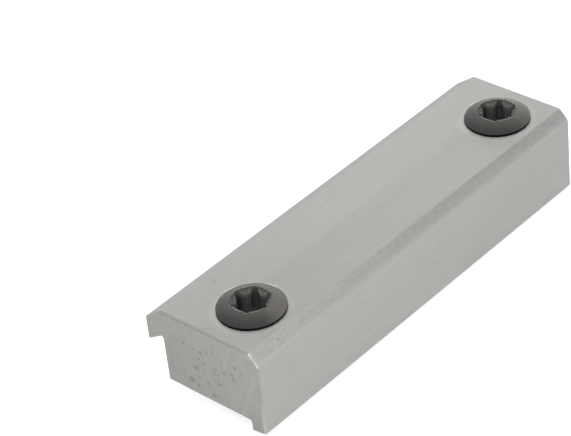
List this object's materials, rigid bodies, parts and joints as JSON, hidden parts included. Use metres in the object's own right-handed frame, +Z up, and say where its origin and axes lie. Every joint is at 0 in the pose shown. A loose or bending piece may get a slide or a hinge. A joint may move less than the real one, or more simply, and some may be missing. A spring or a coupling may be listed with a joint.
{
  "type": "clamping strip",
  "caption": "Extruded aluminium clamping strip with a hooked lip on one long side, a heel on the other and raised countersunk six-lobe screws.",
  "frame": {"origin": "middle of the strip's footprint, level with the lowest edge of the heel", "axes": "+X across the strip from the hooked lip to the heel, +Y along the strip, +Z up through the screws to their heads"},
  "size_m": [0.024, 0.08, 0.0179],
  "materials": {
    "strip": "extruded, natural satin, with sawn ends",
    "screws": "black oxide, satin"
  },
  "bodies": {
    "root": {"strip_body": "strip", "front_screw": "screws", "rear_screw": "screws"}
  },
  "joints": []
}
